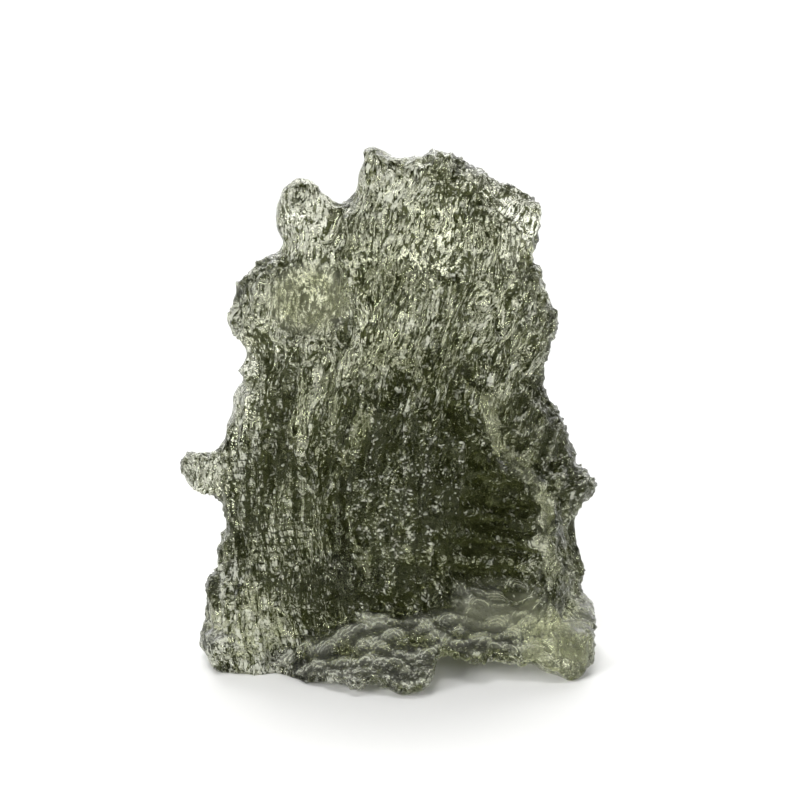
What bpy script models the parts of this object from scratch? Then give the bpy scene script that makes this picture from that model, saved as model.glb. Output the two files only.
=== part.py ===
# A moldavite: one piece of green natural glass, etched in the soil into lobes, ridges and hollows.
# It stands on a few small flat spots under its foot, with its hollow side to the front (-Y).
#
# The stone is shaped in millimetres on a plane that leans back: x to the right, h up that plane,
# and w out of it to the front. It is then stood upright, set on its foot and scaled to metres.

import math

import bmesh
import bpy
import numpy as np
from mathutils import Matrix, Vector, noise

MM = 0.001
LEAN = math.radians(15)  # how far the plane leans back from upright

# Outline on the leaning plane as (x, h), clockwise from the small spike at the top
OUTLINE = [
    (-0.9, 31.1), (-0.3, 30.5), (0.2, 30.0), (1.6, 30.2), (2.4, 30.6), (3.0, 30.6),
    (4.3, 30.0), (5.0, 29.8), (5.9, 29.0), (6.9, 28.9), (7.2, 28.4), (8.2, 28.1),
    (8.5, 27.2), (8.5, 25.7), (8.2, 24.7), (8.5, 23.3), (8.8, 22.5), (9.4, 21.7),
    (9.5, 20.6), (8.9, 19.5), (8.8, 18.3), (8.6, 17.6), (9.2, 16.5), (10.1, 15.2),
    (10.5, 13.2), (11.8, 12.0), (11.7, 11.3), (10.6, 10.4), (10.6, 8.8), (10.7, 8.1),
    (11.1, 6.9), (10.7, 5.3), (11.4, 4.9), (11.9, 3.8), (11.7, 2.0), (11.4, 1.3),
    (10.7, 0.9), (10.0, 0.6), (9.4, 1.2), (8.5, 1.2), (8.0, 1.7), (7.1, 1.5),
    (5.9, 1.8), (4.8, 1.5), (3.8, 1.8), (2.9, 2.1), (2.6, 1.1), (2.1, 0.4),
    (1.2, 0.3), (0.8, 0.0), (-0.2, 0.5), (-1.1, 0.7), (-1.6, 0.3), (-2.9, 0.6),
    (-3.2, 0.7), (-4.9, 0.5), (-6.3, 0.9), (-7.6, 0.5), (-8.7, 0.6), (-10.0, 1.2),
    (-10.8, 2.5), (-10.8, 3.1), (-10.4, 4.3), (-10.7, 6.2), (-9.8, 7.2), (-10.0, 8.2),
    (-9.4, 9.5), (-9.8, 10.4), (-9.7, 11.3), (-10.4, 11.0), (-11.4, 11.6), (-12.1, 12.8),
    (-11.9, 13.7), (-10.5, 13.7), (-9.4, 13.9), (-9.3, 15.1), (-8.9, 16.0), (-9.0, 16.7),
    (-8.1, 17.7), (-8.6, 18.3), (-8.0, 19.0), (-8.0, 19.6), (-9.2, 20.9), (-8.9, 22.2),
    (-8.5, 23.3), (-7.7, 24.2), (-6.8, 24.4), (-6.6, 24.8), (-5.9, 25.3), (-6.4, 26.5),
    (-6.4, 27.3), (-6.1, 28.4), (-5.3, 29.1), (-4.4, 29.1), (-4.0, 28.5), (-3.2, 27.5),
    (-2.1, 27.8), (-1.7, 28.6), (-1.8, 29.2), (-1.4, 29.6), (-1.5, 30.3),
]

# The deep alcove in the lower right of the front, as a loop of (x, h)
ALCOVE = [
    (4.9, 15.6), (5.6, 13.9), (6.0, 12.9), (6.7, 12.5), (7.9, 11.9), (8.5, 10.8),
    (8.9, 9.6), (8.5, 8.3), (8.9, 6.7), (8.6, 4.8), (7.4, 4.1), (5.7, 4.6),
    (4.1, 5.2), (2.7, 5.5), (2.0, 6.1), (2.5, 8.1), (3.4, 10.3), (4.1, 13.0),
]
ALCOVE_FLOOR = -0.9  # its depth w in the upper right corner
ALCOVE_RISE_LEFT = 0.25  # how much shallower it gets for each millimetre to the left
ALCOVE_RISE_DOWN = 0.18  # and for each millimetre down
ALCOVE_BANKS = (2.4, 0.9)  # how wide its sloping wall is, on the left and on the right
ALCOVE_STEP = 1.55  # spacing of the ledges that cross its floor
ALCOVE_LEDGE = 0.4  # how far they stand out

RIM_HALF = 0.55  # half the thickness at the outline
WALL_FRONT = 2.4  # how far the plain front stands out of the middle plane
WALL_BACK = 2.7
FOOT_BACK = 1.3  # extra depth of the back, low down
FOOT_TOP = 8.0  # the height where that begins
MIDDLE_SLOPE = 0.14  # the middle plane comes forward by this for each millimetre of height
MIDDLE_START = -0.8
WOBBLE = 1.3  # how far the middle plane wanders to the front and back

# Soft lumps (rise above 0) and hollows (below 0): x, h, half width, half height, rise
FRONT_FORMS = {
    "belly": (1.1, 12.6, 3.9, 6.2, 3.0),
    "crown": (3.1, 25.4, 3.6, 2.8, 0.8),
    "left_flank": (-7.8, 13.5, 1.1, 6.5, 0.6),
    "left_lobe": (-8.2, 3.6, 2.4, 3.2, 1.9),
    "right_block": (9.8, 2.9, 2.6, 1.9, 2.4),
    "right_shoulder": (9.0, 20.6, 1.2, 1.3, 0.9),
    "right_cheek": (8.6, 15.2, 1.5, 1.6, 1.0),
    "right_spur": (10.6, 11.9, 1.4, 1.2, 0.8),
    "round_dish": (-4.4, 22.1, 1.7, 1.7, -1.9),
    "dish_shadow": (-2.2, 20.2, 0.7, 0.8, -0.8),
    "neck_dish": (-3.6, 26.0, 1.5, 1.2, -0.7),
    "brow_dish": (5.0, 26.9, 1.4, 1.3, -0.6),
    "waist_dish": (6.6, 21.6, 1.4, 1.8, -0.8),
    "left_dish": (-7.0, 19.4, 1.0, 1.3, -0.6),
}
BACK_FORMS = {
    "hump": (1.0, 15.5, 5.5, 7.0, 1.2),
    "upper_dish": (3.2, 24.0, 2.8, 2.4, -1.0),
    "left_dish": (-4.6, 20.0, 2.4, 2.8, -1.1),
    "low_dish": (-3.2, 8.2, 2.6, 2.2, -1.3),
    "alcove_cover": (6.2, 9.4, 3.8, 4.8, 2.3),
    "lobe_dish": (-5.2, 27.0, 1.3, 1.6, -1.0),
    "edge_dish": (-8.6, 15.6, 0.9, 1.6, -0.6),
    "right_dish": (6.8, 15.6, 1.8, 1.6, -0.7),
    "left_boss": (-7.6, 12.8, 1.6, 2.6, 0.7),
    "right_boss": (8.2, 17.0, 1.5, 2.0, 0.8),
}

# Crests (rise above 0) and furrows (below 0) along a line: half width, rise, points (x, h)
FRONT_LINES = {
    "alcove_crest": (0.55, 1.7, [
        (4.9, 16.6), (5.3, 14.9), (5.8, 13.6), (6.4, 12.8), (8.1, 12.2),
        (9.0, 10.8), (9.3, 9.5), (9.1, 8.3), (9.3, 6.6), (9.0, 5.0),
    ]),
    "left_rib": (0.4, 0.6, [(-4.9, 18.3), (-5.0, 15.6), (-5.1, 13.0)]),
    "right_rib": (0.45, 0.6, [(-2.0, 19.6), (-3.0, 18.2), (-3.2, 14.4)]),
    "left_furrow": (0.55, -0.7, [(-6.1, 18.0), (-6.2, 15.0), (-6.4, 12.0)]),
    "rib_furrow": (0.35, -0.6, [(-4.0, 18.6), (-4.1, 16.0), (-4.2, 14.0)]),
    "dish_rim": (0.5, 0.6, [(-1.9, 22.6), (-1.6, 21.0), (-2.6, 19.6), (-4.4, 19.2), (-5.8, 19.9)]),
    "shoulder_furrow": (0.5, -0.7, [(5.4, 19.0), (7.0, 19.2), (8.6, 20.0)]),
    "shoulder_window": (0.8, -1.4, [(6.2, 27.8), (7.2, 26.2), (7.7, 24.4)]),
    "belly_furrow": (0.5, -0.6, [(4.6, 18.2), (4.4, 15.8), (4.2, 13.4)]),
}
BACK_LINES = {
    "spine": (0.8, 0.9, [(-1.0, 27.0), (-0.4, 20.0), (-1.6, 13.0), (-0.4, 6.5)]),
    "branch": (0.7, 0.7, [(-0.6, 18.0), (3.2, 17.6), (6.6, 19.6)]),
    "low_furrow": (0.6, -0.8, [(1.6, 12.0), (2.4, 8.0), (1.8, 4.5)]),
    "shoulder_window": (0.8, -0.9, [(6.2, 27.8), (7.2, 26.2), (7.7, 24.4)]),
}

# The shelf under the front: the depth w of its lip at stations along x, and its slope
LIP_X = [-10.5, -8.4, -6.3, -4.8, -3.4, -2.0, 0.4, 1.9, 3.2, 5.5, 8.0, 10.2, 11.7]
LIP_W = [1.6, 2.6, 3.2, 4.8, 6.2, 6.9, 7.2, 7.2, 7.1, 7.0, 6.5, 5.2, 3.6]
SHELF_SLOPE = 1.15  # depth lost for each millimetre up the plane
SHELF_FROM = 0.9  # the height where the shelf is at its full depth
TOE_DEPTH = 6.9  # the depth at which h = 0 touches the ground

# Long ribs etched down the front: spacing, height, and the slant at stations along x
RIB_PITCH = 1.5
RIB_HEIGHT = 0.4
FAN_START = 11.0  # the height above which the ribs fan out
FAN_LEAN = 0.13  # how far they lean to the right for each millimetre above that, at x = 0
FAN_SPREAD = 0.026  # how much more they lean for each millimetre further right

# The underside is arched between its feet: x, world depth to the front, half size of each foot
FEET = [(0.6, 6.4, 1.3), (-8.4, 3.0, 1.2), (9.9, 3.0, 1.2), (-4.6, -4.1, 1.4), (5.2, -4.2, 1.4)]
ARCH = 1.0  # height of the arch away from the feet
ARCH_INSET = (0.8, 2.6)  # the arch starts this far behind the lip and is full height at this
FOOT_SINK = 0.12  # how much of each foot the flat spot takes off

SCALLOPS = {"size": 2.3, "depth": 0.5}  # large etched cups all over
LUMPS = {"size": 4.2, "height": 0.45}
BLANK_HALF = 1.2  # half the thickness of the flat blank
VOXEL = 0.25
TRIANGLES = 9400

GLASS_GREEN = (0.24, 0.29, 0.13, 1.0)


def smooth_step(value, start, end):
    share = np.clip((value - start) / (end - start), 0.0, 1.0)
    return share * share * (3.0 - 2.0 * share)


def smooth_greater(a, b, blend):
    """The greater of two surfaces, with the crease between them rounded over."""
    share = np.clip(0.5 + 0.5 * (a - b) / blend, 0.0, 1.0)
    return b + (a - b) * share + blend * share * (1.0 - share)


def distance_to_line(x, h, points):
    nearest = np.full(x.shape, np.inf)
    for (x0, h0), (x1, h1) in zip(points, points[1:]):
        along = ((x - x0) * (x1 - x0) + (h - h0) * (h1 - h0)) / ((x1 - x0) ** 2 + (h1 - h0) ** 2)
        along = np.clip(along, 0.0, 1.0)
        gap = np.hypot(x - x0 - along * (x1 - x0), h - h0 - along * (h1 - h0))
        nearest = np.minimum(nearest, gap)
    return nearest


def depth_inside(x, h, loop):
    """Distance to a closed loop, above 0 inside it and below 0 outside."""
    inside = np.zeros(x.shape, bool)
    for (x0, h0), (x1, h1) in zip(loop, loop[1:] + loop[:1]):
        crosses = (h0 > h) != (h1 > h)
        if h0 != h1:
            inside ^= crosses & (x < x0 + (h - h0) * (x1 - x0) / (h1 - h0))
    gap = distance_to_line(x, h, loop + loop[:1])
    return np.where(inside, gap, -gap)


def forms(x, h, lumps, lines):
    total = np.zeros(x.shape)
    for cx, ch, half_width, half_height, rise in lumps.values():
        total += rise * np.exp(-(((x - cx) / half_width) ** 2) - ((h - ch) / half_height) ** 2)
    for half_width, rise, points in lines.values():
        total += rise * np.exp(-((distance_to_line(x, h, points) / half_width) ** 2))
    return total


def edge_rounding(inset, reach):
    """A quarter round: 0 at the outline, 1 once the edge is fully rounded."""
    share = np.clip(inset / reach, 0.0, 1.0)
    return np.sqrt(1.0 - (1.0 - share) ** 2)


def noise_over(x, h, size_x, size_h, layer):
    """Smooth noise from about -0.7 to 0.7, its lumps of the given sizes."""
    return np.array([noise.noise(Vector((a / size_x, b / size_h, layer))) for a, b in zip(x, h)])


def middle(x, h):
    return MIDDLE_START + MIDDLE_SLOPE * h + WOBBLE * noise_over(x, h, 6.0, 4.5, 2.0)


def ribs(x, h):
    """Long ribs down the front, slanting more towards the right and breaking up along their way."""
    above = np.maximum(h - FAN_START, 0.0)
    across = (x - FAN_LEAN * above) / (1.0 + FAN_SPREAD * above)
    wander = noise_over(x, h, 3.0, 7.0, 4.0)
    broken = noise_over(x, h, 2.0, 4.0, 9.0)
    wave = np.sin(2 * math.pi * (across / RIB_PITCH + 0.8 * wander))
    return RIB_HEIGHT * wave * np.clip(0.7 + 1.2 * broken, 0.0, 1.2)


def front_depth(x, h, inset):
    middle_depth = middle(x, h)
    wall = middle_depth + WALL_FRONT + forms(x, h, FRONT_FORMS, FRONT_LINES) + ribs(x, h)
    shelf = np.interp(x, LIP_X, LIP_W) - SHELF_SLOPE * (h - SHELF_FROM)
    front = smooth_greater(wall, shelf, 0.7)
    bank = np.interp(x, (3.0, 7.0), ALCOVE_BANKS)
    in_alcove = smooth_step(depth_inside(x, h, ALCOVE) / bank, -0.1, 1.0)
    floor = ALCOVE_FLOOR + ALCOVE_RISE_LEFT * (8.5 - x) + ALCOVE_RISE_DOWN * np.maximum(11.0 - h, 0.0)
    ledges = ALCOVE_LEDGE * np.sin(2 * math.pi * h / ALCOVE_STEP + 0.5 * x)
    front += (np.minimum(floor + ledges, front) - front) * in_alcove
    reach = 0.5 + 2.6 * smooth_step(h, 1.2, 7.0) * (1.0 + noise_over(x, h, 2.5, 2.5, 6.0))
    edge = middle_depth + RIM_HALF
    return edge + (front - edge) * edge_rounding(inset, reach)


def back_depth(x, h, inset):
    foot = FOOT_BACK * smooth_step(-h, -FOOT_TOP, -FOOT_TOP / 3)
    middle_depth = middle(x, h)
    back = middle_depth - WALL_BACK - foot - forms(x, h, BACK_FORMS, BACK_LINES)
    reach = 0.8 + 2.8 * smooth_step(h, 1.2, 7.0) * (1.0 + noise_over(x, h, 2.5, 2.5, 7.0))
    edge = middle_depth - RIM_HALF
    return edge + (back - edge) * edge_rounding(inset, reach)


def points_of(mesh):
    points = np.empty(len(mesh.vertices) * 3, np.float32)
    mesh.vertices.foreach_get("co", points)
    return points.reshape(-1, 3).astype(float)


def move_points(mesh, points):
    mesh.vertices.foreach_set("co", points.astype(np.float32).ravel())
    mesh.update()


def directions_of(mesh):
    directions = np.empty(len(mesh.vertices) * 3, np.float32)
    mesh.vertex_normals.foreach_get("vector", directions)
    return directions.reshape(-1, 3).astype(float)


def modified(mesh, kind, **settings):
    """A new mesh: the given one as a modifier leaves it."""
    holder = bpy.data.objects.new("holder", mesh)
    bpy.context.scene.collection.objects.link(holder)
    modifier = holder.modifiers.new(kind, kind)
    for name, value in settings.items():
        setattr(modifier, name, value)
    graph = bpy.context.evaluated_depsgraph_get()
    result = bpy.data.meshes.new_from_object(holder.evaluated_get(graph))
    bpy.data.objects.remove(holder)
    bpy.data.meshes.remove(mesh)
    return result


def remeshed(mesh):
    return modified(mesh, "REMESH", mode="VOXEL", voxel_size=VOXEL, adaptivity=0.0)


def blank():
    """A flat slab with the stone's outline, standing on the leaning plane."""
    shape = bmesh.new()
    corners = [shape.verts.new((x, h, -BLANK_HALF)) for x, h in OUTLINE]
    face = shape.faces.new(corners)
    raised = bmesh.ops.extrude_face_region(shape, geom=[face])["geom"]
    top = [v for v in raised if isinstance(v, bmesh.types.BMVert)]
    bmesh.ops.translate(shape, vec=(0.0, 0.0, 2 * BLANK_HALF), verts=top)
    bmesh.ops.recalc_face_normals(shape, faces=shape.faces)
    mesh = bpy.data.meshes.new("blank")
    shape.to_mesh(mesh)
    shape.free()
    return remeshed(mesh)


def swell(mesh):
    """Moves the blank's two faces out to the front and back of the stone."""
    points = points_of(mesh)
    x, h, w = points.T
    inset = np.maximum(depth_inside(x, h, OUTLINE), 0.0)
    side = np.clip(w / BLANK_HALF, -1.0, 1.0)
    front = front_depth(x, h, inset)
    back = back_depth(x, h, inset)
    share = 0.5 + 0.5 * side
    points[:, 2] = back + (front - back) * share
    move_points(mesh, points)
    return remeshed(mesh)


def etch(mesh):
    """Carves large cups and lumps into the surface, fading out at the outline."""
    points = points_of(mesh)
    directions = directions_of(mesh)
    inset = np.maximum(depth_inside(points[:, 0], points[:, 1], OUTLINE), 0.0)
    fade = 0.4 + 0.6 * smooth_step(inset, 0.0, 1.3)
    moves = np.empty(len(points))
    for i, place in enumerate(points):
        near = noise.voronoi(Vector(place) / SCALLOPS["size"])[0]
        cup = min((near[1] - near[0]) / 0.6, 1.0)
        lump = noise.noise(Vector(place) / LUMPS["size"])
        moves[i] = LUMPS["height"] * lump + SCALLOPS["depth"] * (0.6 - cup)
    move_points(mesh, points + directions * (moves * fade)[:, None])
    return mesh


def stand_up(mesh):
    """Turns the leaning plane upright, so that x is right, y is back and z is up from the ground."""
    x, h, w = points_of(mesh).T
    w = w - TOE_DEPTH
    forward = w * math.cos(LEAN) - h * math.sin(LEAN) + TOE_DEPTH
    up = w * math.sin(LEAN) + h * math.cos(LEAN)
    move_points(mesh, np.stack([x, -forward, up], axis=1))
    return mesh


def arch_underside(mesh):
    """Lifts what lies below the arch between the feet, then cleans up the surface."""
    points = points_of(mesh)
    off_feet = np.ones(len(points))
    for x, forward, half in FEET:
        away = np.hypot(points[:, 0] - x, -points[:, 1] - forward)
        off_feet *= smooth_step(away, half * 0.4, half * 2.4)
    behind_lip = np.interp(points[:, 0], LIP_X, LIP_W) + points[:, 1]
    ripple = noise_over(points[:, 0], points[:, 1], 1.9, 1.9, 0.0)
    height = ARCH * smooth_step(behind_lip, *ARCH_INSET) * (1.0 + 0.5 * ripple)
    arch = off_feet * height - FOOT_SINK
    points[:, 2] = np.maximum(points[:, 2], arch)
    move_points(mesh, points)
    return remeshed(mesh)


def fewer_faces(mesh):
    mesh.calc_loop_triangles()
    ratio = TRIANGLES / len(mesh.loop_triangles)
    return modified(mesh, "DECIMATE", ratio=ratio)


def cut_feet_flat(mesh):
    """Cuts the feet off flat at z = 0 and closes the cuts."""
    shape = bmesh.new()
    shape.from_mesh(mesh)
    everything = list(shape.verts) + list(shape.edges) + list(shape.faces)
    cut = bmesh.ops.bisect_plane(
        shape, geom=everything, plane_co=(0, 0, 0), plane_no=(0, 0, 1), clear_inner=True
    )
    edges = [e for e in cut["geom_cut"] if isinstance(e, bmesh.types.BMEdge)]
    bmesh.ops.holes_fill(shape, edges=edges, sides=0)
    bmesh.ops.triangulate(shape, faces=shape.faces)
    bmesh.ops.recalc_face_normals(shape, faces=shape.faces)
    shape.to_mesh(mesh)
    shape.free()
    return mesh


def centre_and_scale(mesh):
    """Puts the middle of the stone's box over the origin, its feet at z = 0, in metres."""
    points = points_of(mesh)
    low, high = points.min(axis=0), points.max(axis=0)
    shift = Vector((-(low[0] + high[0]) / 2, -(low[1] + high[1]) / 2, -low[2]))
    mesh.transform(Matrix.Scale(MM, 4) @ Matrix.Translation(shift))
    return mesh


def green_glass():
    material = bpy.data.materials.new("green_glass")
    material.use_nodes = True
    shader = material.node_tree.nodes["Principled BSDF"]
    shader.inputs["Base Color"].default_value = GLASS_GREEN
    shader.inputs["Roughness"].default_value = 0.15
    shader.inputs["Metallic"].default_value = 0.0
    shader.inputs["IOR"].default_value = 1.49
    return material


def make_moldavite():
    mesh = blank()
    for step in (swell, etch, stand_up, arch_underside, fewer_faces, cut_feet_flat, centre_and_scale):
        mesh = step(mesh)
    mesh.name = "moldavite"
    mesh.materials.append(green_glass())
    mesh.shade_smooth()
    stone = bpy.data.objects.new("moldavite", mesh)
    bpy.context.scene.collection.objects.link(stone)


for old in list(bpy.data.objects):
    bpy.data.objects.remove(old)
make_moldavite()
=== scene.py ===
# A moldavite standing on a pale table in soft studio light.
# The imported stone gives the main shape. A finer copy of it gets the etched grooves, cups and pits.

import math
from types import SimpleNamespace

import bmesh
import bpy
import numpy as np
from mathutils import Matrix, Vector, noise


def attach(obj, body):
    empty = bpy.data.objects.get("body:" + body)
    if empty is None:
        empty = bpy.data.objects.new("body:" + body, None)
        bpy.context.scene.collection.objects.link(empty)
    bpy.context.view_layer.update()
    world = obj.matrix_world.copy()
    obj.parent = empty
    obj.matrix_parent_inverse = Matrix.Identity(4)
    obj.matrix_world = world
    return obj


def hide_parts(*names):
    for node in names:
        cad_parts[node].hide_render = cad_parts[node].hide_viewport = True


print("loading the packed stone")
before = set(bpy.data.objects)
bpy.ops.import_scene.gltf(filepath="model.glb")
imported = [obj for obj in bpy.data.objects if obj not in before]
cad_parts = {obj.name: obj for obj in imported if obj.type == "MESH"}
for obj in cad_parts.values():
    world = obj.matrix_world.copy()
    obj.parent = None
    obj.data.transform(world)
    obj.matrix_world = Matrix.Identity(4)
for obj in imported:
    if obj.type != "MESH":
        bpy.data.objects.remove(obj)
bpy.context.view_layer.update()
scene = bpy.context.scene

# The stone's own plane leans back, as in part.py: x to the right, h up the plane, w to the front
plane = {
    "lean": math.radians(15),
    "toe": 6.9,  # mm
    "shift": (0.0112, -0.4847),  # mm, how far the finished stone was moved in x and y
}

camera = {
    "elevation": math.radians(15),
    "lens": 120.0,  # mm
    "frameWidth": 0.0448,  # metres across the picture at the stone
    "aim": (0.00056, 0.0, 0.01520),
    "clip": (0.005, 20.0),  # metres, nearest and farthest that it sees
}


def addCamera():
    data = bpy.data.cameras.new("camera")
    data.lens = camera["lens"]
    data.clip_start, data.clip_end = camera["clip"]
    view = bpy.data.objects.new("camera", data)
    away = Vector((0.0, -math.cos(camera["elevation"]), math.sin(camera["elevation"])))
    distance = camera["frameWidth"] * camera["lens"] / data.sensor_width
    view.location = Vector(camera["aim"]) + away * distance
    view.rotation_euler = away.to_track_quat("Z", "Y").to_euler()
    scene.collection.objects.link(view)
    scene.camera = view


class Wire:
    # One output socket that can be used in Python sums
    def __init__(self, graph, socket):
        self.graph = graph
        self.socket = socket

    def maths(self, operation, *others):
        values = dict(enumerate((self,) + others))
        return self.graph.node("ShaderNodeMath", {"operation": operation}, values)["Value"]

    def __add__(self, other):
        return self.maths("ADD", other)

    __radd__ = __add__

    def __sub__(self, other):
        return self.maths("SUBTRACT", other)

    def __rsub__(self, other):
        settings = {"operation": "SUBTRACT"}
        return self.graph.node("ShaderNodeMath", settings, {0: other, 1: self})["Value"]

    def __mul__(self, other):
        return self.maths("MULTIPLY", other)

    __rmul__ = __mul__

    def least(self, other):
        return self.maths("MINIMUM", other)

    def most(self, other):
        return self.maths("MAXIMUM", other)

    def hump(self):
        # 0 where the angle is a whole number of half turns, 1 midway between
        return self.maths("SINE").maths("ABSOLUTE")


class Graph:
    # A material's node tree, with one method that adds any node
    def __init__(self, name):
        self.material = bpy.data.materials.new(name)
        self.material.use_nodes = True
        self.tree = self.material.node_tree
        self.tree.nodes.clear()

    def node(self, kind, settings=None, sockets=None):
        made = self.tree.nodes.new(kind)
        for name, value in (settings or {}).items():
            setattr(made, name, value)
        for name, value in (sockets or {}).items():
            socket = made.inputs[name]
            if isinstance(value, Wire):
                self.tree.links.new(value.socket, socket)
            else:
                socket.default_value = value
        return Outputs(self, made)


class Outputs:
    # A node's outputs by name, each as a Wire
    def __init__(self, graph, made):
        self.graph = graph
        self.made = made

    def __getitem__(self, name):
        return Wire(self.graph, self.made.outputs[name])


def smoothStep(value, start, end):
    share = np.clip((value - start) / (end - start), 0.0, 1.0)
    return share * share * (3.0 - 2.0 * share)


def pointsOf(mesh):
    points = np.empty(len(mesh.vertices) * 3, np.float32)
    mesh.vertices.foreach_get("co", points)
    return points.reshape(-1, 3).astype(float)


def movePoints(mesh, points):
    mesh.vertices.foreach_set("co", points.astype(np.float32).ravel())
    mesh.update()


def directionsOf(mesh):
    directions = np.empty(len(mesh.vertices) * 3, np.float32)
    mesh.vertex_normals.foreach_get("vector", directions)
    return directions.reshape(-1, 3).astype(float)


def modified(mesh, kind, **settings):
    holder = bpy.data.objects.new("holder", mesh)
    scene.collection.objects.link(holder)
    modifier = holder.modifiers.new(kind, kind)
    for name, value in settings.items():
        setattr(modifier, name, value)
    shown = holder.evaluated_get(bpy.context.evaluated_depsgraph_get())
    result = bpy.data.meshes.new_from_object(shown)
    bpy.data.objects.remove(holder)
    bpy.data.meshes.remove(mesh)
    return result


# Sizes are in mm and run along x, h and w. Ovals on the plane are x, h, half width, half height.
relief = {
    "voxel": 0.166,  # edge length of the fine mesh
    "softenings": 4,  # rounds of smoothing that take off the flat faces
    "middle": 0.3,  # part of the etching's depth that is added back
    "bend": {"size": 3.0, "depth": 0.3, "seed": 1},  # slow bends of the whole pattern
    "wander": {"size": 1.3, "depth": 0.7, "seed": 4},  # how the edges of light and dark areas stray
    "clouds": {"size": 0.9, "depth": 0.3, "seed": 8},  # light and dark along the grooves
    "furrows": {"size": (1.5, 14.0, 2.5), "depth": 0.28, "seed": 3},
    "grooves": {"size": (0.6, 6.0, 1.2), "depth": 0.26, "seed": 2},
    "striae": {"size": (0.36, 2.4, 0.7), "depth": 0.17, "seed": 6},
    "scallops": {"size": 1.1, "depth": 0.5},
    "cups": {"size": (0.7, 0.95, 0.7), "depth": 0.16, "seed": 7},
    "pits": {"size": (0.5, 0.6, 0.5), "depth": 0.12, "seed": 5},
    "columns": {"pitch": 0.86, "depth": 0.32},
    "rungPitch": 0.38,
    "ledges": {"pitch": 1.3, "depth": 0.3},
    "fanStart": 11.0,  # h above which the grooves fan out
    "fanLean": 0.25,
    "fanSpread": 0.03,
    "footStart": 9.0,  # h below which the grooves lean the other way
    "footLean": 0.14,
    "dish": (-4.6, 22.2, 2.3, 2.0),  # the smooth round dish
    "crescents": {"rings": 3.0, "depth": 0.14},  # arcs along the lower left of its rim
    "alcove": (6.2, 9.0, 3.0, 4.2),  # the deep alcove
    "lip": (6.6, 4.6, 3.2, 1.1),  # the smooth lip in front of it
    "corner": (9.6, 3.0, 2.2, 2.0),  # the smooth right end of the foot
    "ridge": [(5.3, 16.6), (5.6, 14.4), (7.6, 12.6), (8.8, 11.0), (8.5, 8.6), (9.3, 7.2)],
    "ridgeHalf": 0.38,
}


def toPlane(points):
    # World metres to millimetres on the stone's own leaning plane
    x = points[:, 0] * 1000 - plane["shift"][0]
    forward = -(points[:, 1] * 1000 - plane["shift"][1]) - plane["toe"]
    up = points[:, 2] * 1000
    cosine, sine = math.cos(plane["lean"]), math.sin(plane["lean"])
    w = forward * cosine + up * sine + plane["toe"]
    h = up * cosine - forward * sine
    return x, h, w


def cells(x, h, w, size, seed):
    # Distance to the border between etched cells: 0 on a crest, about 0.5 in the middle
    result = np.empty(len(x))
    shift = Vector((seed * 7.3, seed * 3.1, seed * 5.7))
    for i, place in enumerate(zip(x / size[0], h / size[1], w / size[2])):
        near = noise.voronoi(Vector(place) + shift)[0]
        result[i] = near[1] - near[0]
    return result


def waves(x, h, w, size, seed):
    # Smooth noise about 0, with its own length along x, h and w
    places = zip(x / size[0] + seed * 9.7, h / size[1], w / size[2])
    return np.array([noise.noise(Vector(place)) for place in places])


def lumps(x, h, w, pattern):
    size = pattern["size"]
    return pattern["depth"] * waves(x, h, w, (size, size, size), pattern["seed"])


def cupped(x, h, w, pattern):
    # One layer of etched cups, in mm: 0 on their sharp rims and deepest in the middle
    border = cells(x, h, w, pattern["size"], pattern["seed"])
    return -pattern["depth"] * np.minimum(border / 0.6, 1.0) ** 0.7


def grooved(x, h, w, pattern):
    # One layer of long grooves that join and part: 0 on sharp crests and deepest between them
    sides = np.abs(waves(x, h, w, pattern["size"], pattern["seed"]))
    return -pattern["depth"] * np.minimum(sides * 3.2, 1.0)


def scalloped(x, h, w, size):
    # Distance to the middle of the nearest scallop, and how far up and back from it, over its size
    distance = np.empty(len(x))
    behind = np.empty(len(x))
    for i, place in enumerate(zip(x / size, h / size, w / size)):
        near, middles = noise.voronoi(Vector(place))
        distance[i] = near[0]
        behind[i] = 0.7 * (place[1] - middles[0][1] + middles[0][2] - place[2])
    return distance, behind


def nearLine(x, h, points, half):
    # 1 on a broken line on the plane, fading to 0 past its half width
    nearest = np.full(len(x), np.inf)
    for (x0, h0), (x1, h1) in zip(points, points[1:]):
        run, rise = x1 - x0, h1 - h0
        share = np.clip(((x - x0) * run + (h - h0) * rise) / (run * run + rise * rise), 0.0, 1.0)
        nearest = np.minimum(nearest, np.hypot(x - x0 - share * run, h - h0 - share * rise))
    return 1.0 - smoothStep(nearest, 0.6 * half, 1.6 * half)


def within(x, h, area):
    # 1 in the middle of an oval on the plane, fading to 0 past its edge
    away = np.hypot((x - area[0]) / area[2], (h - area[1]) / area[3])
    return 1.0 - smoothStep(away, 0.6, 1.25)


def crescents(x, h, bend):
    # Raised arcs round the smooth dish, and how far the surface lies on its lower left rim
    middle = relief["dish"]
    right, up = (x - middle[0]) / middle[2], (h - middle[1]) / middle[3]
    away = np.hypot(right, up)
    arcs = np.sin(2 * math.pi * relief["crescents"]["rings"] * (away + 0.2 * bend))
    rimmed = smoothStep(away, 0.7, 0.9) * (1.0 - smoothStep(away, 1.3, 1.5))
    return np.maximum(arcs, 0.0), rimmed * smoothStep(-right - 0.6 * up, 0.2, 0.7)


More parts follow.
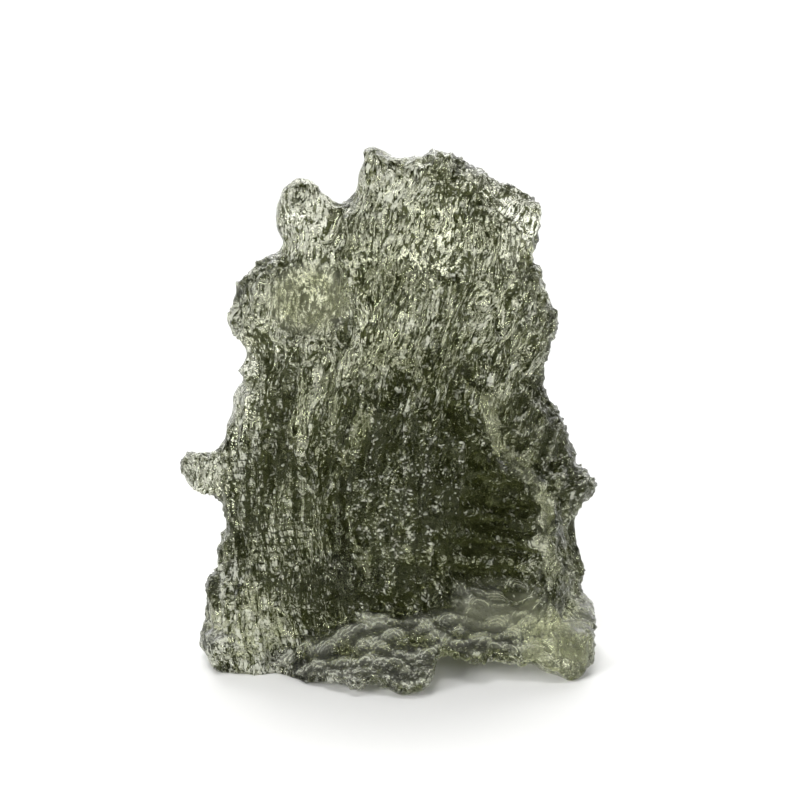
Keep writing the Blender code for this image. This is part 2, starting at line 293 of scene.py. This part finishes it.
# Where light and shade are painted into the stone's clarity: lighter where it is thin, darker in the
# alcove, belly, dish and other hollows, the dark ones on its front only. On its plane in mm: x, h, half
# width, half height, change
lightAndShadeAreas = {
    "leftLobe": (-5.0, 27.6, 2.2, 2.6, 0.5),
    "topStep": (-0.4, 29.0, 2.4, 1.6, 0.5),
    "shoulderWindow": (6.9, 26.3, 1.5, 2.4, 0.5),
    "leftSpike": (-10.8, 12.5, 1.4, 1.4, 0.5),
    "leftEdge": (-8.6, 16.6, 1.2, 3.4, 0.5),
    "midLeft": (-1.6, 19.6, 3.0, 2.6, 0.2),
    "dish": (-4.5, 22.3, 2.4, 2.6, -0.5),
    "lip": (6.0, 4.9, 3.2, 1.3, -0.5),
    "underLobe": (-4.8, 24.8, 2.8, 1.6, 0.12),
    "upperFace": (2.6, 26.0, 2.0, 2.0, 0.2),
    "leftRim": (-9.2, 10.5, 0.9, 4.2, 0.3),
    "leftRib": (-5.1, 15.8, 0.5, 2.8, 0.35),
    "middleRib": (-3.2, 16.6, 0.5, 2.4, 0.25),
    "leftFoot": (-8.2, 3.2, 2.6, 2.8, 0.5),
    "frontFoot": (-0.4, 1.0, 3.6, 1.0, 0.45),
    "rightFoot": (8.8, 2.4, 3.2, 2.2, 0.5),
    "rightWall": (9.6, 7.4, 1.2, 3.4, 0.25),
    "frontShelf": (1.6, 2.6, 4.6, 1.3, 0.3),
    "topRight": (5.0, 28.4, 2.4, 1.8, -0.15),
    "leftShoulder": (-7.7, 23.6, 1.0, 1.4, -0.1),
    "underDish": (-2.5, 20.3, 1.3, 0.8, -0.45),
    "darkBand": (-6.2, 14.8, 0.5, 3.2, -0.3),
    "belly": (2.2, 13.0, 3.6, 4.4, -0.2),
    "alcove": (6.0, 9.8, 2.8, 3.8, -0.6),
    "shelfBack": (-1.8, 6.0, 3.6, 1.6, -0.25),
}

# Where pale chipped facets, partly frost and partly painted glints, are more or less common, in the same
# way
frostAndGlintAreas = {
    "leftFoot": (-8.2, 2.8, 3.0, 2.8, 0.75),
    "frontFoot": (0.6, 1.2, 5.5, 1.4, 0.5),
    "rightFoot": (8.8, 1.8, 3.2, 1.8, 0.45),
    "lobe": (-5.0, 27.6, 2.2, 2.6, 0.4),
    "topStep": (-0.2, 28.8, 2.6, 1.8, 0.6),
    "leftEdge": (-8.8, 15.5, 1.4, 3.8, 0.35),
    "midLeft": (-1.0, 20.2, 4.2, 3.0, 0.16),
    "rightSide": (6.6, 19.6, 2.6, 3.0, 0.1),
    "alcove": (6.0, 9.8, 2.8, 3.8, -0.2),
    "shelfBack": (-1.8, 6.4, 3.6, 1.4, -0.15),
    "leftSpike": (-10.8, 12.5, 1.4, 1.4, 0.7),
    "leftWall": (-6.5, 12.0, 3.4, 6.0, 0.14),
    "leftNotch": (-9.2, 21.2, 0.9, 1.3, 0.7),
    "leftFootEdge": (-9.4, 6.4, 0.8, 1.5, 0.5),
    "underLobe": (-4.8, 24.8, 2.2, 1.2, 0.18),
    "upperFace": (4.2, 24.8, 1.4, 1.3, 0.22),
    "bellyTop": (1.8, 16.2, 2.0, 1.1, 0.15),
}


def spotsOf(points, directions):
    # Where each point lies on the stone's plane, and how far its surface looks forward and up
    x, h, w = toPlane(points)
    cosine, sine = math.cos(plane["lean"]), math.sin(plane["lean"])
    bend = lumps(x, h, w, relief["bend"])
    above = np.maximum(h - relief["fanStart"], 0.0)
    below = np.maximum(relief["footStart"] - h, 0.0)
    fanned = (x - relief["fanLean"] * above) / (1.0 + relief["fanSpread"] * above)
    return SimpleNamespace(
        x=x,
        h=h,
        w=w,
        bend=bend,
        across=fanned + (bend - relief["footLean"] * below),
        deep=w + bend,
        facing=-directions[:, 1] * cosine + directions[:, 2] * sine,
        rising=directions[:, 2] * cosine + directions[:, 1] * sine,
    )


def zonesOf(spot):
    # The areas of the stone, each as a share from 0 to 1 at every point
    x, h = spot.x, spot.h
    shelf = smoothStep(spot.rising, 0.25, 0.6) * smoothStep(7.0 - h, 0.0, 1.5)
    front = smoothStep(spot.facing, 0.1, 0.5)
    face = front * (1.0 - shelf)
    dish = within(x, h, relief["dish"]) * face
    alcove = within(x, h, relief["alcove"]) * face
    lip = within(x, h, relief["lip"]) * front
    corner = within(x, h, relief["corner"]) * front
    ridge = nearLine(x + 0.5 * spot.bend, h, relief["ridge"], relief["ridgeHalf"]) * front
    arcs, rimmed = crescents(x, h, spot.bend)
    return SimpleNamespace(
        shelf=shelf,
        front=front,
        alcove=alcove,
        ridge=ridge,
        rimmed=rimmed * face,
        crescent=arcs * (rimmed * face),
        left=smoothStep(-x, 2.5, 5.5) * smoothStep(21.0 - h, 0.0, 3.0) * face,
        belly=face * smoothStep(x, -4.0, -1.0) * smoothStep(17.0 - h, 0.0, 4.0) * (1.0 - alcove),
        smooth=np.maximum(np.maximum(0.65 * dish, 0.5 * lip), np.maximum(0.3 * ridge, 0.5 * corner)),
        edge=1.0 - smoothStep(np.abs(spot.facing), 0.1, 0.5),
    )


def tonesOf(spot, zone, ledge):
    # How clear the glass is, with painted light and shade from the areas above and lighter crests, and how
    # common its pale chipped facets, partly painted glints, are
    h = spot.h
    tone = 0.5 + lumps(spot.across, h / 2.5, spot.deep, relief["clouds"]) * (1.0 - zone.smooth)
    # Painted light: lighter towards the top, on the ridge and crescents, and on the raised ledges low in
    # the alcove
    tone += 0.2 * smoothStep(h, 14.0, 22.0) + 0.3 * zone.ridge + 0.45 * zone.crescent
    tone += 0.4 * np.maximum(ledge, 0.0) * zone.alcove * smoothStep(9.5 - h, 0.0, 3.0)
    wander = lumps(spot.x, h, spot.w, relief["wander"])
    for area in lightAndShadeAreas.values():
        share = within(spot.x + wander, h + 1.3 * wander, area[:4])
        tone += area[4] * share * (1.0 if area[4] > 0 else zone.front)
    frosty = 0.3 * zone.ridge + 0.4 * zone.crescent
    for area in frostAndGlintAreas.values():
        frosty += area[4] * within(spot.x + wander, h + 1.3 * wander, area[:4])
    return tone, frosty


def heightsOf(spot, zone, tone, ledge, scallop):
    # How far the etching moves the surface, in mm and negative inward, and how near it is to a crest
    across, h, deep, bend = spot.across, spot.h, spot.deep, spot.bend
    rough = (1.0 - zone.smooth) * (1.0 - (0.75 - 0.45 * zone.front) * smoothStep(tone, 0.8, 1.1))
    long = (1.0 - 0.9 * zone.shelf) * (1.0 - 0.5 * zone.left) * (1.0 - 0.6 * zone.alcove)
    height = long * grooved(across, h, deep, relief["furrows"])
    height += long * grooved(across, h, deep, relief["grooves"])
    height += (1.0 - 0.8 * zone.shelf) * grooved(across, h, deep, relief["striae"])
    scaled = np.maximum(zone.shelf, 0.6 - 0.6 * zone.front)
    height += relief["scallops"]["depth"] * (scallop - 0.9) * scaled
    height += np.maximum(zone.belly, 0.4 - 0.4 * zone.shelf) * cupped(across, h, deep, relief["cups"])
    pitted = 1.0 - 0.5 * zone.left - 0.7 * zone.shelf + zone.edge
    height += pitted * cupped(spot.x, h, deep, relief["pits"])
    wave = np.abs(np.sin(math.pi * (across + 0.6 * bend) / relief["columns"]["pitch"]))
    height -= relief["columns"]["depth"] * (1.0 - wave) * zone.left
    height += relief["ledges"]["depth"] * ledge * zone.alcove
    height *= 1.0 - 0.5 * zone.rimmed
    height += relief["crescents"]["depth"] * zone.crescent
    height *= rough
    crest = smoothStep(height, -0.85, -0.15)
    height *= 1.0 - 0.3 * zone.edge
    height += relief["middle"] * rough + 0.12 * zone.ridge
    return height, crest


def keepPattern(mesh, name, kind, values):
    # Stores one of the etching's patterns on the mesh, for the material
    layer = mesh.attributes.new(name, kind, "POINT")
    field = "vector" if kind == "FLOAT_VECTOR" else "value"
    layer.data.foreach_set(field, values.astype(np.float32).ravel())


def etch(mesh):
    points = pointsOf(mesh)
    directions = directionsOf(mesh)
    spot = spotsOf(points, directions)
    zone = zonesOf(spot)
    ledge = np.sin(2 * math.pi * (spot.h + 0.9 * spot.bend + 0.12 * spot.x) / relief["ledges"]["pitch"])
    tone, frosty = tonesOf(spot, zone, ledge)
    scallop, behind = scalloped(spot.x + 0.8 * spot.bend, spot.h, spot.w, relief["scallops"]["size"])
    height, crest = heightsOf(spot, zone, tone, ledge, scallop)

    # The etching fades out at the flat spots that the stone rests on
    height *= smoothStep(points[:, 2] * 1000, 0.05, 0.6)
    moved = points + directions * (height / 1000)[:, None]
    moved[:, 2] = np.maximum(moved[:, 2], 0.0)
    movePoints(mesh, moved)

    keepPattern(mesh, "flow", "FLOAT_VECTOR", np.stack([spot.across, spot.h, spot.deep], axis=1))
    kept = {
        "smoothness": zone.smooth,
        "laddered": zone.left,
        "tone": np.clip(tone, 0.0, 1.0),
        "frosty": frosty,
        "crest": crest,
        "scallop": scallop,
        "arc": smoothStep(behind, -0.1, 0.3),
        "shelf": np.maximum(zone.shelf, 0.5 - zone.front),
        "grainy": np.maximum(zone.alcove, np.maximum(zone.shelf, 0.85 * zone.belly)),
    }
    for name, values in kept.items():
        keepPattern(mesh, name, "FLOAT", values)


def addStone():
    print("refining the stone")
    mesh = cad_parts["moldavite"].data.copy()
    shape = bmesh.new()
    shape.from_mesh(mesh)
    bmesh.ops.remove_doubles(shape, verts=shape.verts, dist=1e-7)
    bmesh.ops.scale(shape, vec=(1000, 1000, 1000), verts=shape.verts)
    shape.to_mesh(mesh)
    shape.free()
    mesh = modified(mesh, "REMESH", mode="VOXEL", voxel_size=relief["voxel"], adaptivity=0.0)
    mesh = modified(mesh, "SMOOTH", factor=0.5, iterations=relief["softenings"])
    mesh.transform(Matrix.Scale(0.001, 4))
    print("etching grooves and cups")
    etch(mesh)
    mesh.materials.clear()
    mesh.materials.append(greenGlass())
    mesh.shade_smooth()
    mesh.name = "etched_stone"
    stone = bpy.data.objects.new("etched_stone", mesh)
    scene.collection.objects.link(stone)
    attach(stone, "root")
    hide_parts("moldavite")
    mesh.calc_loop_triangles()
    print("triangles", len(mesh.loop_triangles))


glass = {
    "ior": 1.49,
    "absorption": (0.41, 0.44, 0.08, 1.0),
    "density": 118.0,
    "clear": (1.0, 1.0, 0.98, 1.0),
    "honey": (0.80, 0.82, 0.48, 1.0),  # in the smooth dish, on the lip and at the foot's corner
    # painted shade: the near black tint of the hollows between clear specks
    "dark": (0.013, 0.015, 0.004, 1.0),
    "frost": (0.68, 0.69, 0.60, 1.0),  # the chipped facets' pale frost, partly a painted glint
    # the same pale frost and painted glint in the smooth dish, lip and corner
    "honeyFrost": (0.34, 0.35, 0.18, 1.0),
    "glow": (0.62, 0.63, 0.52, 1.0),  # what the facets let through
    "glowShare": 0.4,
    "frosted": 0.65,  # how much of a chipped facet's light it scatters
    "roughness": 0.05,
    "frostRoughness": 0.8,
    "sheen": (0.4, 0.42, 0.3, 1.0),  # tint of what the surface mirrors
    "rings": 38.0,  # hairlines round a scallop, as an angle across its size
    "ripple": 0.00014,  # metres, height of the ripples
    "grain": 0.00005,  # metres, height of the finest pitting
}

# The glass's small patterns: how each stretches along x, h and w, and how often it repeats in a mm
patterns = {
    "streaks": {"kind": "Voronoi", "stretch": (1.0, 0.24, 0.7), "Scale": 7.5},
    "threads": {"kind": "Noise", "stretch": (1.0, 0.11, 0.7), "Scale": 13.0, "Detail": 1.0},
    "flecks": {"kind": "Voronoi", "stretch": (0.7, 1.0, 0.8), "Scale": 5.0},
    "grain": {"kind": "Noise", "Scale": 8.0, "Detail": 2.0, "Roughness": 0.6},
    "warp": {"kind": "Noise", "Scale": 0.9, "Detail": 1.0},
    "facets": {"kind": "Voronoi", "stretch": (1.2, 0.26, 1.0), "Scale": 12.0},
    "bluntFacets": {"kind": "Voronoi", "Scale": 8.0},
    "clusters": {"kind": "Noise", "Scale": 1.6, "Detail": 2.0, "Roughness": 0.6},
    "sparks": {"kind": "Voronoi", "Scale": 3.4},
    "ripples": {
        "kind": "Noise",
        "stretch": (1.0, 0.24, 0.7),
        "Scale": 4.6,
        "Detail": 1.0,
        "Roughness": 0.4,
    },
    "dimples": {
        "kind": "Noise",
        "stretch": (0.7, 1.0, 0.8),
        "Scale": 4.0,
        "Detail": 1.0,
        "Roughness": 0.4,
    },
}


def addPattern(graph, flow, name):
    # One of the small patterns, laid along the flow of the grooves
    sockets = dict(patterns[name])
    kind = "ShaderNodeTex" + sockets.pop("kind")
    stretch = sockets.pop("stretch", None)
    place = flow
    if stretch:
        place = graph.node("ShaderNodeMapping", {}, {"Vector": flow, "Scale": stretch})["Vector"]
    return graph.node(kind, {}, {"Vector": place, **sockets})


def ramped(graph, value, start, end, low=0.0, high=1.0, curve="SMOOTHSTEP"):
    sockets = {"Value": value, "From Min": start, "From Max": end, "To Min": low, "To Max": high}
    return graph.node("ShaderNodeMapRange", {"interpolation_type": curve}, sockets)["Result"]


def blended(graph, share, first, second):
    sockets = {"Factor": share, 6: first, 7: second}
    return graph.node("ShaderNodeMix", {"data_type": "RGBA"}, sockets)[2]


def addLadder(graph, flow, kept):
    # Lines painted dark as shade between columns and rungs, on the left of the face, which also sink its
    # fine relief
    pitch = relief["columns"]["pitch"]
    sides = graph.node("ShaderNodeSeparateXYZ", {}, {"Vector": flow})
    warp = 2.2 * addPattern(graph, flow, "warp")["Fac"]
    columns = (sides["X"] * (math.pi / pitch) + warp).hump()
    column = (sides["X"] * (1.0 / pitch) + warp * (1.0 / math.pi)).maths("FLOOR")
    start = graph.node("ShaderNodeTexWhiteNoise", {"noise_dimensions": "1D"}, {"W": column})["Value"]
    rungs = (sides["Y"] * (math.pi / relief["rungPitch"]) + 3.0 * warp + 3.0 * start).hump()
    return ((0.5 - columns).most(0.0) + 0.7 * (0.5 - rungs).most(0.0)) * kept.laddered


def clearShare(graph, flow, kept, grain, ladder, rim, hairs, plain):
    # Specks of clear glass between hollows painted dark as shade: the higher the painted tone, the more is
    # clear
    threads = addPattern(graph, flow, "threads")["Fac"]
    specks = addPattern(graph, flow, "streaks")["Distance"] + 1.4 * (threads - 0.5)
    specks = specks + kept.grainy * (addPattern(graph, flow, "flecks")["Distance"] - specks)
    amount = 0.85 * kept.tone + 0.4 * kept.crest + 0.1 * kept.smoothness - 0.36 - 0.7 * ladder
    share = amount.least(0.5) - (0.8 * specks + 0.9 * (grain - 0.5)) * plain + 0.7 * hairs
    return ramped(graph, share - (0.26 - 0.26 * rim) * kept.shelf, -0.05, 0.05)


def frostAndGlintShare(graph, flow, kept, grain, ladder, rim, hairs, calm):
    # Chipped facets in clusters stay pale over the shaded glass, partly as frost and partly as painted
    # glints; the small bright specks are painted glints only
    facets = addPattern(graph, flow, "facets")["Color"]
    blunt = addPattern(graph, flow, "bluntFacets")["Color"]
    chips = graph.node("ShaderNodeSeparateXYZ", {}, {"Vector": facets})["X"]
    bluntChips = graph.node("ShaderNodeSeparateXYZ", {}, {"Vector": blunt})["X"]
    chips = chips + kept.grainy * (bluntChips - chips)
    clusters = addPattern(graph, flow, "clusters")["Fac"]
    # Painted glints: small bright specks in the alcove, belly and shelf
    sparks = ramped(graph, addPattern(graph, flow, "sparks")["Distance"], 0.26, 0.18, curve="LINEAR")
    chips = chips + 2.2 * (clusters - 0.5) + 0.9 * (grain - 0.5) + 0.3 * kept.crest + 0.4 * calm - 1.4
    chips = chips + kept.frosty - 1.2 * ladder - 0.4 * kept.shelf + 0.6 * hairs
    chips = chips - 0.4 * kept.smoothness + 0.65 * sparks * kept.grainy * (1.0 - kept.shelf)
    frost = ramped(graph, chips, 0.0, 0.45, curve="LINEAR")
    frost = frost + 0.42 * kept.smoothness + (0.1 + 0.2 * rim + 0.5 * hairs) * kept.shelf
    return frost.least(1.0)


def fineNormal(graph, flow, kept, grain, ladder, hairs, flat):
    # The finest relief, which catches the lamps in glints
    ripples = addPattern(graph, flow, "ripples")["Fac"]
    ripples = ripples + kept.grainy * (addPattern(graph, flow, "dimples")["Fac"] - ripples)
    height = (ripples - 0.6 * ladder) * flat
    sockets = {"Height": height, "Strength": 1.0, "Distance": glass["ripple"]}
    rippled = graph.node("ShaderNodeBump", {}, sockets)["Normal"]
    height = (grain + hairs) * flat
    sockets = {"Height": height, "Strength": 1.0, "Distance": glass["grain"], "Normal": rippled}
    return graph.node("ShaderNodeBump", {}, sockets)["Normal"]


def greenGlass():
    graph = Graph("green_glass_etched")
    flow = graph.node("ShaderNodeAttribute", {"attribute_name": "flow"})["Vector"]
    kept = SimpleNamespace()
    for name in ("smoothness", "tone", "frosty", "crest", "scallop", "arc", "shelf", "grainy", "laddered"):
        setattr(kept, name, graph.node("ShaderNodeAttribute", {"attribute_name": name})["Fac"])
    grain = addPattern(graph, flow, "grain")["Fac"]
    ladder = addLadder(graph, flow, kept)

    # Hairlines run along the rims of the shelf's scallops, pale as a painted reflection, and the scallops'
    # middles are painted dark as shade
    rings = (kept.scallop * glass["rings"] + 7.0 * grain).maths("SINE")
    rim = ramped(graph, kept.scallop, 0.15, 0.5) * kept.arc
    hairs = (rings - 0.1).most(0.0) * rim * kept.shelf

    plain = 1.0 - 0.6 * kept.smoothness
    calm = ramped(graph, kept.tone, 0.6, 0.95, 1.0, 0.3)
    share = clearShare(graph, flow, kept, grain, ladder, rim, hairs, plain)
    frost = frostAndGlintShare(graph, flow, kept, grain, ladder, rim, hairs, calm)
    normal = fineNormal(graph, flow, kept, grain, ladder, hairs, plain * calm)

    light = blended(graph, kept.smoothness, glass["clear"], glass["honey"])
    clear = graph.node(
        "ShaderNodeBsdfPrincipled",
        {},
        {
            "Base Color": blended(graph, share, glass["dark"], light),
            "Roughness": glass["roughness"] + 0.6 * hairs + 0.15 * kept.smoothness,
            "IOR": glass["ior"],
            "Transmission Weight": 1.0,
            "Specular Tint": glass["sheen"],
            "Normal": normal,
        },
    )["BSDF"]
    matte = graph.node(
        "ShaderNodeBsdfPrincipled",
        {},
        {
            "Base Color": blended(graph, kept.smoothness, glass["frost"], glass["honeyFrost"]),
            "Roughness": glass["frostRoughness"],
            "IOR": glass["ior"],
            "Specular IOR Level": 0.0,
            "Normal": normal,
        },
    )["BSDF"]
    sockets = {"Color": glass["glow"], "Normal": normal}
    passed = graph.node("ShaderNodeBsdfTranslucent", {}, sockets)["BSDF"]
    sockets = {0: glass["glowShare"], 1: matte, 2: passed}
    pale = graph.node("ShaderNodeMixShader", {}, sockets)["Shader"]
    sockets = {0: glass["frosted"] * frost, 1: clear, 2: pale}
    surface = graph.node("ShaderNodeMixShader", {}, sockets)["Shader"]
    sockets = {"Color": glass["absorption"], "Density": glass["density"]}
    body = graph.node("ShaderNodeVolumeAbsorption", {}, sockets)["Volume"]
    graph.node("ShaderNodeOutputMaterial", {}, {"Surface": surface, "Volume": body})
    return graph.material


studio = {
    "back": 2.2,  # brightness of the room behind the stone
    "front": 0.05,  # and on the camera's side
    "turn": (0.1, 0.7),  # where the room goes from one to the other, as a share of the way back
    "roomColour": (1.0, 1.0, 1.0, 1.0),
    "tableColour": (0.75, 0.75, 0.74, 1.0),
    "tableRoughness": 0.8,
    "tableHalf": 1.5,  # metres
    "aimHeight": 0.014,  # metres, where the lamps look
    "lamps": {
        "top": {"place": (-0.02, -0.12, 0.28), "size": (0.10, 0.08), "power": 0.36},
        "left": {"place": (-0.20, -0.24, 0.11), "size": (0.12, 0.16), "power": 1.3},
        "right": {"place": (0.25, -0.18, 0.08), "size": (0.09, 0.12), "power": 0.55},
        "behind": {"place": (0.0, 0.35, 0.40), "size": (0.5, 0.3), "power": 1.5},
    },
}


def addTable():
    print("laying the table")
    shape = bmesh.new()
    bmesh.ops.create_grid(shape, x_segments=1, y_segments=1, size=studio["tableHalf"])
    mesh = bpy.data.meshes.new("table")
    shape.to_mesh(mesh)
    shape.free()
    graph = Graph("pale_table")
    sockets = {"Base Color": studio["tableColour"], "Roughness": studio["tableRoughness"]}
    shader = graph.node("ShaderNodeBsdfPrincipled", {}, sockets)["BSDF"]
    graph.node("ShaderNodeOutputMaterial", {}, {"Surface": shader})
    mesh.materials.append(graph.material)
    table = bpy.data.objects.new("table", mesh)
    scene.collection.objects.link(table)


def lightRoom():
    world = bpy.data.worlds.new("studio")
    scene.world = world
    world.use_nodes = True
    tree = world.node_tree
    background = tree.nodes["Background"]
    place = tree.nodes.new("ShaderNodeTexCoord")
    split = tree.nodes.new("ShaderNodeSeparateXYZ")
    tree.links.new(place.outputs["Generated"], split.inputs[0])
    ramp = tree.nodes.new("ShaderNodeMapRange")
    ramp.inputs["From Min"].default_value, ramp.inputs["From Max"].default_value = studio["turn"]
    ramp.inputs["To Min"].default_value = studio["front"]
    ramp.inputs["To Max"].default_value = studio["back"]
    tree.links.new(split.outputs["Y"], ramp.inputs["Value"])
    tree.links.new(ramp.outputs["Result"], background.inputs["Strength"])
    background.inputs["Color"].default_value = studio["roomColour"]


def addLamps():
    for name, lamp in studio["lamps"].items():
        light = bpy.data.lights.new(name, "AREA")
        light.shape = "RECTANGLE"
        light.size, light.size_y = lamp["size"]
        light.energy = lamp["power"]
        holder = bpy.data.objects.new(name, light)
        holder.location = lamp["place"]
        aim = Vector(lamp["place"]) - Vector((0.0, 0.0, studio["aimHeight"]))
        holder.rotation_euler = aim.to_track_quat("Z", "Y").to_euler()
        scene.collection.objects.link(holder)


addCamera()
addStone()
addTable()
print("lighting the studio")
lightRoom()
addLamps()
scene.view_settings.view_transform = "Standard"
